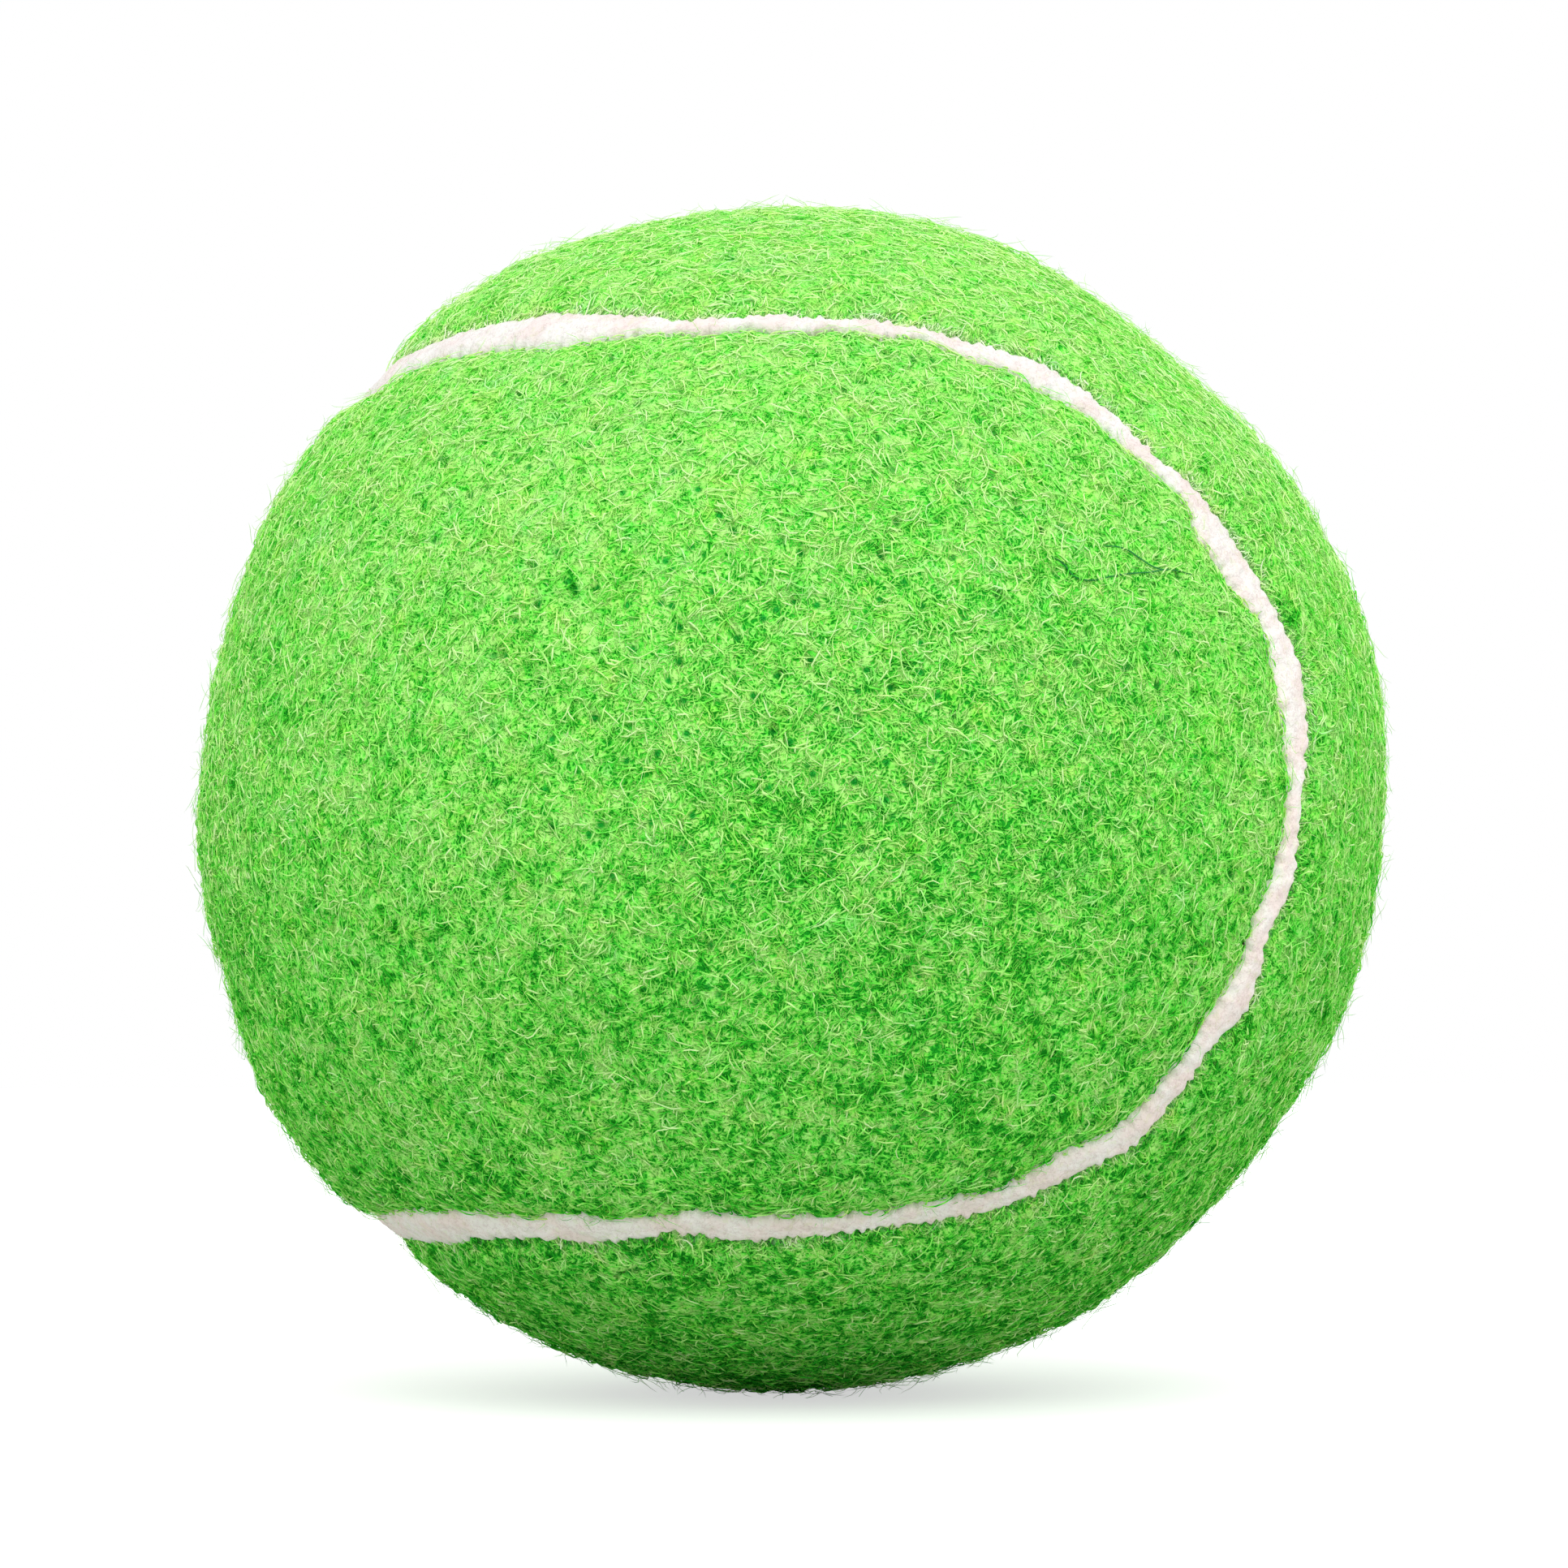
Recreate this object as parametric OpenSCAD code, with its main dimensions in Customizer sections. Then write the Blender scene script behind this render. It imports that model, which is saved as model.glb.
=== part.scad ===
// Tennis ball: a rubber core moulded as two half shells and cemented at the equator,
// covered by two interlocking dog-bone panels of needled felt. Each panel lies on its
// own thin coat of rubber cement, and a line of pale cement fills the seam between them.
//
// The origin is the centre of the ball and +Z is up. The seam's turning axis lies
// along X. The left panel has its waist at -X and its two lobes at -Y and +Y, and the
// right panel has its waist at +X and its two lobes at -Z and +Z.

/* [Core] */
// Outside diameter of the rubber core
core_od = 60; // [56:0.5:64]
// Wall of each half shell
core_wall = 3.4; // [2.6:0.1:4.6]
// Thickness of the cement between the two rims
joint_gap = 0.3; // [0.2:0.05:0.6]
// Bevel on the inner and outer edges of each rim
rim_bevel = 0.9; // [0.5:0.05:1.2]
// Radius of the bead of cement squeezed out inside the joint
bead_r = 1.3; // [1.1:0.05:2]
// Depth of the bead's centre outside the bore, in the mouth of the bevels
bead_sink = 0.5; // [0.2:0.05:0.8]

/* [Cover] */
// Thickness of the cement coat under each felt panel
coat_t = 0.25; // [0.15:0.05:0.5]
// Thickness of the felt at its crown, with its nap
felt_t = 3.25; // [2.6:0.05:4]

/* [Seam] */
// Bare width of the seam between the two panels
seam_w = 1.1; // [0.7:0.05:1.6]
// Depth of the seam's cement below the crown of the felt
seam_depth = 1.3; // [0.9:0.05:1.9]
// Hollow of the cement's surface between its two edges
seam_dish = 0.12; // [0.05:0.01:0.25]
// Reach of a panel's rounded shoulder from the middle of the seam
shoulder_reach = 3; // [2.2:0.1:4]
// Depth that the round of the shoulder falls to, at the middle of the seam
shoulder_fall = 2.4; // [1.8:0.1:2.5]
// Width of a panel across its waist, from seam to seam over the felt
waist_w = 54.8; // [51:0.2:59]
// How far the lobes swell beyond a plain saddle curve
lobe_share = 0.2525; // [0.15:0.0025:0.32]

/* [Fineness] */
// Steps along the whole seam
seam_steps = 240; // [120:8:320]
// Steps across the round of a shoulder
shoulder_steps = 6; // [5:1:8]

/* [Hidden] */

$fn = 96;

// Radii of the layers, from the inside out
core_r = core_od / 2;
bore_r = core_r - core_wall;
coat_r = core_r + coat_t;
ball_r = coat_r + felt_t;

// What a cutting body passes the surface that it cuts by
overrun = 1;
// Radius that the long cutting bodies reach, outside the ball
reach_share = 1.15;
reach_r = ball_r * reach_share;

// Rise of the seam curve along X, from the angle that half a waist covers
waist_angle = waist_w / 2 / ball_r * 180 / PI;
seam_rise_share = (1 - lobe_share) / tan(waist_angle);

// The top of a shoulder's round stands this far above the felt's crown, so that it
// leaves the crown at a clear angle
shoulder_lift_share = 0.0625;
shoulder_lift = shoulder_fall * shoulder_lift_share;

// Pieces across the widest rung of the body that cuts a panel out of a shell
rung_steps = 3;
step_angle = 360 / seam_steps;
// Curve angle of the seam at the tip of the left panel's front lobe
tip_angle = 135;

// The seam's curve and the bodies swept along it

function unit(v) = v / norm(v);

// Unit vector from the centre of the ball to the middle of the seam at curve angle t
function seam_dir(t) =
    let (
        u = cos(t) + lobe_share * cos(3 * t),
        v = sin(t) - lobe_share * sin(3 * t),
        w = seam_rise_share * sin(2 * t)
    )
    unit([-w, (u - v) / sqrt(2), (u + v) / sqrt(2)]);

// Unit vector across the seam at curve angle t, towards the right panel
function seam_across(t) =
    unit(cross(seam_dir(t), seam_dir(t + step_angle) - seam_dir(t - step_angle)));

// Unit vector at a distance d from the middle of the seam, measured over the felt
function beside_seam(t, d) =
    let (a = d / ball_r * 180 / PI)
    seam_dir(t) * cos(a) + seam_across(t) * sin(a);

// Closed ring along the seam. The profile's points are [distance from the middle of
// the seam, radius], and run anticlockwise when distance is to the right.
module seam_ring(profile) {
    n = len(profile);
    points = [
        for (i = [0 : seam_steps - 1])
            for (p = profile)
                p[1] * beside_seam(i * step_angle, p[0])
    ];
    faces = [
        for (i = [0 : seam_steps - 1])
            for (j = [0 : n - 1])
                let (
                    a = i * n + j,
                    b = i * n + (j + 1) % n,
                    c = (i + 1) % seam_steps * n + (j + 1) % n,
                    d = (i + 1) % seam_steps * n + j
                )
                each [[a, c, b], [a, d, c]]
    ];
    polyhedron(points, faces, convexity = 8);
}

// Point k of rung i of the left panel. A rung crosses the panel along a meridian,
// from one edge to the other, and the edges are mirror images in Z.
function rung_point(i, k) =
    let (
        edge = beside_seam(tip_angle + i * step_angle, -seam_w / 2),
        lon = atan2(edge[1], edge[0]),
        lat = asin(edge[2]) * (1 - 2 * k / rung_steps)
    )
    reach_r * [cos(lat) * cos(lon), cos(lat) * sin(lon), sin(lat)];

// Cone from the centre of the ball through the outline of the left panel
module panel_cone() {
    rungs = seam_steps / 2;
    row = rung_steps + 1;
    tip = 1;
    tail = 2 + (rungs - 1) * row;
    points = concat(
        [[0, 0, 0], rung_point(0, 0)],
        [for (i = [1 : rungs - 1]) for (k = [0 : rung_steps]) rung_point(i, k)],
        [rung_point(rungs, 0)]
    );
    first = tip + 1;
    last = tail - row;
    faces = concat(
        [for (k = [0 : rung_steps - 1]) [tip, first + k, first + k + 1]],
        [for (i = [0 : rungs - 3]) for (k = [0 : rung_steps - 1])
            let (a = first + i * row + k, b = a + row)
            each [[a, b + 1, a + 1], [a, b, b + 1]]],
        [for (k = [0 : rung_steps - 1]) [tail, last + k + 1, last + k]],
        [[0, first, tip], [0, tip, first + rung_steps]],
        [for (i = [0 : rungs - 3])
            let (a = first + i * row, b = a + row)
            each [[0, b, a], [0, a + rung_steps, b + rung_steps]]],
        [[0, tail, last], [0, last + rung_steps, tail]]
    );
    polyhedron(points, faces, convexity = 8);
}

// Part of the left panel between two radii
module panel_layer(inner_r, outer_r) {
    intersection() {
        difference() {
            sphere(r = outer_r);
            sphere(r = inner_r);
        }
        panel_cone();
    }
}

// What is taken off the left panel's edge to round its shoulder
module shoulder_cut() {
    round_profile = [
        for (i = [0 : shoulder_steps])
            let (a = 90 * i / shoulder_steps)
            [
                -shoulder_reach * (1 - sin(a)),
                ball_r + shoulder_lift - shoulder_fall * (1 - cos(a))
            ]
    ];
    seam_ring(concat([[0, reach_r]], round_profile));
}

// Turns and mirrors the left panel's pieces into the right panel's place
module right_side() {
    mirror([1, 0, 0])
        rotate([90, 0, 0])
            children();
}

// Core

// One half shell with its flat rim, bevelled inside and out
module half_shell() {
    rim_z = joint_gap / 2;
    difference() {
        sphere(r = core_r);
        sphere(r = bore_r);
        translate([0, 0, rim_z - core_od / 2])
            cube([core_od + overrun, core_od + overrun, core_od], center = true);
        translate([0, 0, rim_z - overrun])
            cylinder(
                r1 = bore_r + rim_bevel + overrun,
                r2 = bore_r - overrun,
                h = rim_bevel + 2 * overrun
            );
        outer_bevel();
    }
}

// What is taken off the outer edge of a rim
module outer_bevel() {
    depth = rim_bevel / 2;
    rim_z = joint_gap / 2;
    difference() {
        translate([0, 0, rim_z - overrun])
            cylinder(r = core_r + overrun, h = depth + overrun * 2);
        translate([0, 0, rim_z - 2 * overrun])
            cylinder(
                r1 = core_r - depth - 2 * overrun,
                r2 = core_r + 2 * overrun,
                h = depth + 4 * overrun
            );
    }
}

module core_half_top() {
    color("dimgray") half_shell();
}

module core_half_bottom() {
    color("gray") mirror([0, 0, 1]) half_shell();
}

// Cement between the rims, flush outside and squeezed into a round bead inside
module core_joint_cement() {
    rim_h = joint_gap + 2 * rim_bevel;
    color("tan")
        difference() {
            union() {
                difference() {
                    intersection() {
                        sphere(r = core_r);
                        cube([core_od + overrun, core_od + overrun, rim_h], center = true);
                    }
                    cylinder(r = bore_r, h = core_od, center = true);
                }
                rotate_extrude()
                    translate([bore_r + bead_sink, 0])
                        circle(r = bead_r);
            }
            half_shell();
            mirror([0, 0, 1]) half_shell();
        }
}

// Cover

module backing_cement_left() {
    color("wheat") panel_layer(core_r, coat_r);
}

module backing_cement_right() {
    color("navajowhite") right_side() panel_layer(core_r, coat_r);
}

// A felt panel: even in thickness over its crown, rounded down into the seam
module felt_panel() {
    difference() {
        panel_layer(coat_r, ball_r);
        shoulder_cut();
    }
}

module felt_panel_left() {
    color("limegreen") felt_panel();
}

module felt_panel_right() {
    color("limegreen") right_side() felt_panel();
}

// Pale cement in the seam, from the core up, a little hollow along its middle
module seam_cement() {
    edge_r = ball_r - seam_depth;
    foot_r = core_r - overrun;
    color("mistyrose")
        difference() {
            seam_ring([
                [-seam_w / 2, foot_r],
                [seam_w / 2, foot_r],
                [seam_w / 2, edge_r],
                [0, edge_r - seam_dish],
                [-seam_w / 2, edge_r]
            ]);
            sphere(r = core_r);
        }
}

core_half_top();
core_half_bottom();
core_joint_cement();
backing_cement_left();
backing_cement_right();
felt_panel_left();
felt_panel_right();
seam_cement();
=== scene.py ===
"""A felt-covered tennis ball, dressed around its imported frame.

The two felt panels, their nap and the cement in the seam are modelled here, over a
core and cement coats that keep the frame's own solids. Lengths are in metres.
"""

import logging
import math
from dataclasses import dataclass
from enum import Enum
from typing import Any

import bpy
import numpy as np
from mathutils import Matrix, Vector
from mathutils.kdtree import KDTree


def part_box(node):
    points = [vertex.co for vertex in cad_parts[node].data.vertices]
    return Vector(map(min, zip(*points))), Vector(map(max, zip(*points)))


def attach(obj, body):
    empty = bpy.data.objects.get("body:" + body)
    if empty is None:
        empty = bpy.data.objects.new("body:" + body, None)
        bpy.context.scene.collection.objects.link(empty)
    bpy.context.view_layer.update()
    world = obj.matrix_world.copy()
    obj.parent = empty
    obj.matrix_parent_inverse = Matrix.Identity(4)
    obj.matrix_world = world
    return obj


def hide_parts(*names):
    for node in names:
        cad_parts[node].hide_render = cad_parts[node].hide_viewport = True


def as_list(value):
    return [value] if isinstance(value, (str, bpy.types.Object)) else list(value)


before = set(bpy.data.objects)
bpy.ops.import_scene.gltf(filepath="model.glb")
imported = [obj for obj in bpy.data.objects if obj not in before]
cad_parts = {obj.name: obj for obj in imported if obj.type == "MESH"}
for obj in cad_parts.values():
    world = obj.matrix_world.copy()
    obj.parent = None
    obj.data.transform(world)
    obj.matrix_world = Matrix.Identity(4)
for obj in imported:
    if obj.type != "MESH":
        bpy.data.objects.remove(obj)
log = logging.getLogger("tennis_ball")

MM = 0.001
TURN = 2 * math.pi
UV_NAME = "OFBake"

Triple = tuple[float, float, float]
Stops = tuple[tuple[float, Triple], ...]
Material = bpy.types.Material
Piece = bpy.types.Object


# Trees of nodes


@dataclass
class Value:
    """A socket of a tree, on which arithmetic adds Math or Vector Math nodes."""

    tree: "Tree"
    socket: Any

    @property
    def is_vector(self) -> bool:
        """Whether the socket holds a vector or a colour."""
        return self.socket.type in ("VECTOR", "RGBA")

    def math(self, operation: str, *others: Any) -> "Value":
        """Adds a Math node, or a Vector Math node for a vector, whose first value this is."""
        kind = "ShaderNodeVectorMath" if self.is_vector else "ShaderNodeMath"
        return self.tree.math(kind, operation, self, *others)

    def __add__(self, other: Any) -> "Value":
        """Returns self + other."""
        return self.math("ADD", other)

    def __sub__(self, other: Any) -> "Value":
        """Returns self - other."""
        return self.math("SUBTRACT", other)

    def __rsub__(self, other: float) -> "Value":
        """Returns other - self, for numbers."""
        return self.tree.math("ShaderNodeMath", "SUBTRACT", other, self)

    def __mul__(self, other: Any) -> "Value":
        """Returns self times a number."""
        return self.tree.scale(self, other) if self.is_vector else self.math("MULTIPLY", other)

    def __truediv__(self, other: Any) -> "Value":
        """Returns self / other."""
        return self.math("DIVIDE", other)

    def __pow__(self, other: float) -> "Value":
        """Returns self to the power other."""
        return self.math("POWER", other)

    def __getitem__(self, axis: int) -> "Value":
        """Takes one number out of a vector."""
        return self.tree.node("ShaderNodeSeparateXYZ", None, {0: self}, axis)

    __radd__ = __add__
    __rmul__ = __mul__

    def unit(self) -> "Value":
        """Brings a vector to a length of 1."""
        return self.math("NORMALIZE")

    def clamp(self, low: float, high: float) -> "Value":
        """Keeps the value between two others."""
        return self.math("MAXIMUM", low).math("MINIMUM", high)

    def smooth(self, low: float, high: float) -> "Value":
        """Rises smoothly from 0 at low to 1 at high, which may be the smaller one."""
        return self.tree.node("ShaderNodeMapRange", {"interpolation_type": "SMOOTHSTEP"},
                              {"Value": self, "From Min": low, "From Max": high}, "Result")

    def noise(self, size: float, detail: float = 2.0, roughness: float = 0.5,
              output: str = "Fac") -> "Value":
        """Reads a noise with features of a size. "Fac" is a number, "Color" a vector."""
        sockets = {"Vector": self, "Scale": 1.0 / size, "Detail": detail, "Roughness": roughness}
        return self.tree.node("ShaderNodeTexNoise", None, sockets, output)


class Tree:
    """Adds nodes to a shader tree or a geometry tree."""

    def __init__(self, tree: bpy.types.NodeTree) -> None:
        """Wraps a node tree."""
        self.tree = tree

    def node(self, kind: str, settings: dict[str, Any] | None = None,
             sockets: dict[Any, Any] | None = None, output: Any = 0) -> Value:
        """Adds a node.

        Args:
            kind: The node's type.
            settings: Its properties, set first. "stops" are a ramp's stops.
            sockets: Values or links of its inputs, by name, identifier or place.
            output: The output that is wanted, by name, identifier or place.

        Returns:
            That output.
        """
        made = self.tree.nodes.new(kind)
        for name, setting in (settings or {}).items():
            if name == "stops":
                self._set_stops(made.color_ramp, setting)
            else:
                setattr(made, name, setting)
        for name, value in (sockets or {}).items():
            self.feed(self._find(made.inputs, name), value)
        return Value(self, self._find(made.outputs, output) if made.outputs else None)

    @staticmethod
    def _set_stops(ramp: bpy.types.ColorRamp, stops: Stops) -> None:
        """Gives a colour ramp its stops.

        Args:
            ramp: The ramp.
            stops: Places and colours.
        """
        while len(ramp.elements) < len(stops):
            ramp.elements.new(1.0)
        for element, (place, colour) in zip(ramp.elements, stops):
            element.position = place
            element.color = (*colour, 1.0)

    @staticmethod
    def _find(sockets: Any, name: Any) -> bpy.types.NodeSocket:
        """Finds a socket.

        Args:
            sockets: A node's inputs or outputs.
            name: The socket's place, identifier or name.

        Returns:
            The first socket that fits, of those in use if there is one.
        """
        if isinstance(name, int):
            return sockets[name]
        shown = [socket for socket in sockets if socket.enabled]
        for socket in (*shown, *sockets):
            if name in (socket.identifier, socket.name):
                return socket
        raise KeyError(name)

    def feed(self, socket: bpy.types.NodeSocket, value: Any) -> None:
        """Links a value to an input, or writes it there.

        Args:
            socket: The input.
            value: A Value, a number, a colour, a text or a data block.
        """
        if isinstance(value, Value):
            self.tree.links.new(value.socket, socket)
        elif socket.type == "RGBA" and len(value) == 3:
            socket.default_value = (*value, 1.0)
        else:
            socket.default_value = value

    def math(self, kind: str, operation: str, *values: Any) -> Value:
        """Adds a Math or Vector Math node. LENGTH, DISTANCE and DOT_PRODUCT give a number."""
        number = operation in ("LENGTH", "DISTANCE", "DOT_PRODUCT")
        return self.node(kind, {"operation": operation}, dict(enumerate(values)), int(number))

    def scale(self, vector: Value, factor: Any) -> Value:
        """Multiplies a vector by a number."""
        sockets = {0: vector, "Scale": factor}
        return self.node("ShaderNodeVectorMath", {"operation": "SCALE"}, sockets)

    def combine(self, x: Value, y: Value) -> Value:
        """Makes a vector of two numbers."""
        return self.node("ShaderNodeCombineXYZ", None, {0: x, 1: y})

    def mix_colours(self, factor: Any, first: Any, second: Any, blend: str = "MIX") -> Value:
        """Mixes two colours. The factor is the share of the second."""
        sockets = {"Factor_Float": factor, "A_Color": first, "B_Color": second}
        return self.node("ShaderNodeMix", {"data_type": "RGBA", "blend_type": blend}, sockets,
                         "Result_Color")

    def ramp(self, factor: Value, stops: Stops) -> Value:
        """Adds a colour ramp."""
        return self.node("ShaderNodeValToRGB", {"stops": stops}, {"Fac": factor})


class Shader(Tree):
    """The tree of one material."""

    def __init__(self, name: str) -> None:
        """Makes an empty material.

        Args:
            name: The material's name.
        """
        self.material = bpy.data.materials.new(name)
        self.material.use_nodes = True
        super().__init__(self.material.node_tree)
        self.tree.nodes.clear()

    def place(self) -> Value:
        """Returns the place on the piece, in metres from the ball's centre."""
        return self.node("ShaderNodeTexCoord", None, None, "Object")

    def surface(self, sockets: dict[str, Any], height: Value | None = None,
                depth: float = 0.0) -> Material:
        """Ends the tree with a Principled BSDF.

        Args:
            sockets: The shader's inputs.
            height: The pattern of a bump, from 0 to 1.
            depth: How far the bump goes.

        Returns:
            The finished material.
        """
        if height is not None:
            bump = {"Strength": 1.0, "Distance": depth, "Height": height}
            sockets = {**sockets, "Normal": self.node("ShaderNodeBump", None, bump)}
        shader = self.node("ShaderNodeBsdfPrincipled", None, sockets)
        self.node("ShaderNodeOutputMaterial", None, {"Surface": shader})
        return self.material


class GeometryTree(Tree):
    """A Geometry Nodes tree with named inputs."""

    def __init__(self, name: str) -> None:
        """Makes a tree that takes a geometry and gives one.

        Args:
            name: The tree's name.
        """
        super().__init__(bpy.data.node_groups.new(name, "GeometryNodeTree"))
        self.sockets: dict[str, str] = {}
        for way in ("INPUT", "OUTPUT"):
            self.tree.interface.new_socket("Geometry", in_out=way, socket_type="NodeSocketGeometry")
        self.group_in = self.tree.nodes.new("NodeGroupInput")
        self.group_out = self.tree.nodes.new("NodeGroupOutput")
        self.geometry = Value(self, self.group_in.outputs[0])

    def named_input(self, name: str, kind: str = "Float") -> Value:
        """Adds an input to the tree.

        Args:
            name: Its name.
            kind: Float, Int or Material.

        Returns:
            The input's value inside the tree.
        """
        made = self.tree.interface.new_socket(name, in_out="INPUT", socket_type=f"NodeSocket{kind}")
        self.sockets[name] = made.identifier
        return Value(self, self._find(self.group_in.outputs, made.identifier))

    def position(self) -> Value:
        """Reads the place."""
        return self.node("GeometryNodeInputPosition")

    def attribute(self, name: str) -> Value:
        """Reads a named number."""
        return self.node("GeometryNodeInputNamedAttribute", {"data_type": "FLOAT"}, {"Name": name})

    def arrow(self, name: str) -> Value:
        """Reads a named vector."""
        return self.node("GeometryNodeInputNamedAttribute", {"data_type": "FLOAT_VECTOR"},
                         {"Name": name})

    def store(self, geometry: Value, values: dict[str, Value], kind: str = "FLOAT",
              domain: str = "POINT") -> Value:
        """Stores named attributes.

        Args:
            geometry: What they are stored on.
            values: Their values by name.
            kind: Their data type.
            domain: Their domain.

        Returns:
            The geometry with the attributes.
        """
        for name, value in values.items():
            geometry = self.node(
                "GeometryNodeStoreNamedAttribute", {"data_type": kind, "domain": domain},
                {"Geometry": geometry, "Name": name, "Value": value})
        return geometry

    def finish(self, geometry: Value, material: Value) -> None:
        """Ends the tree.

        Args:
            geometry: The geometry to give out.
            material: The material that it gets.
        """
        real = self.node("GeometryNodeRealizeInstances", None, {"Geometry": geometry})
        dress = {"Geometry": real, "Material": material}
        self.feed(self.group_out.inputs[0], self.node("GeometryNodeSetMaterial", None, dress))

    def apply(self, piece: Piece, values: dict[str, Any]) -> None:
        """Runs the tree on a piece and keeps the result as its plain mesh.

        Args:
            piece: The piece.
            values: The tree's inputs by name.
        """
        modifier = piece.modifiers.new(self.tree.name, "NODES")
        modifier.node_group = self.tree
        for name, value in values.items():
            modifier[self.sockets[name]] = value
        graph = bpy.context.evaluated_depsgraph_get()
        graph.update()
        made = bpy.data.meshes.new_from_object(piece.evaluated_get(graph), depsgraph=graph)
        piece.modifiers.remove(modifier)
        old = piece.data
        piece.data = made
        made.name = piece.name
        bpy.data.meshes.remove(old)


# The photograph and the seam


@dataclass(frozen=True)
class Photograph:
    """Where the ball lies in the photograph, and the camera that this gives."""

    frame_px: float = 1932.0
    centre_x_px: float = 973.4
    centre_y_px: float = 983.8
    radius_px: float = 734.2
    distance_radii: float = 7.0
    turn_deg: float = 11.46
    tip_deg: float = -3.66
    roll_deg: float = -0.15

    def axes(self) -> np.ndarray:
        """Finds the camera's axes.

        Returns:
            Rows of unit vectors to the right, forwards and up.
        """
        turns = zip("YXZ", (self.roll_deg, self.tip_deg, self.turn_deg))
        roll, tip, turn = (Matrix.Rotation(math.radians(deg), 3, axis) for axis, deg in turns)
        return np.array(roll @ tip @ turn)

    def focal_px(self) -> float:
        """Returns the focal length that gives the ball its radius in pixels."""
        return self.radius_px * math.sqrt(self.distance_radii ** 2 - 1.0)

    def on_ball(self, pixel: tuple[float, float], radius: float) -> np.ndarray:
        """Finds what a pixel shows of a ball round the origin.

        Args:
            pixel: The pixel.
            radius: The ball's radius, which also sets how far off the camera stands.

        Returns:
            The place.
        """
        right, forwards, up = self.axes()
        aside, below = pixel[0] - self.centre_x_px, pixel[1] - self.centre_y_px
        ray = forwards * self.focal_px() + right * aside - up * below
        ray /= np.linalg.norm(ray)
        eye = -forwards * self.distance_radii * radius
        towards = -(eye @ ray)
        return eye + ray * (towards - math.sqrt(towards ** 2 - eye @ eye + radius ** 2))

    def image_angle(self, directions: np.ndarray) -> np.ndarray:
        """Finds angles round the picture, in degrees clockwise from the right."""
        right, _, up = self.axes()
        return np.degrees(np.arctan2(-directions @ up, directions @ right)) % 360.0


def degrees_apart(angle: np.ndarray, other: float) -> np.ndarray:
    """Returns how far angles are past another, from -180 to 180 degrees."""
    return (angle - other + 180.0) % 360.0 - 180.0


@dataclass(frozen=True)
class Spot:
    """A stretch of the seam that differs from the rest, at a curve angle in degrees."""

    angle: float
    amount: float
    spread: float = 3.0
    # 2 for a soft rise and fall, more for a step at both ends
    power: int = 2


def spots_mm(*rows: tuple[float, ...]) -> tuple[Spot, ...]:
    """Makes spots of rows that give the amount in millimetres."""
    return tuple(Spot(angle, amount * MM, *shape) for angle, amount, *shape in rows)


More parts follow.
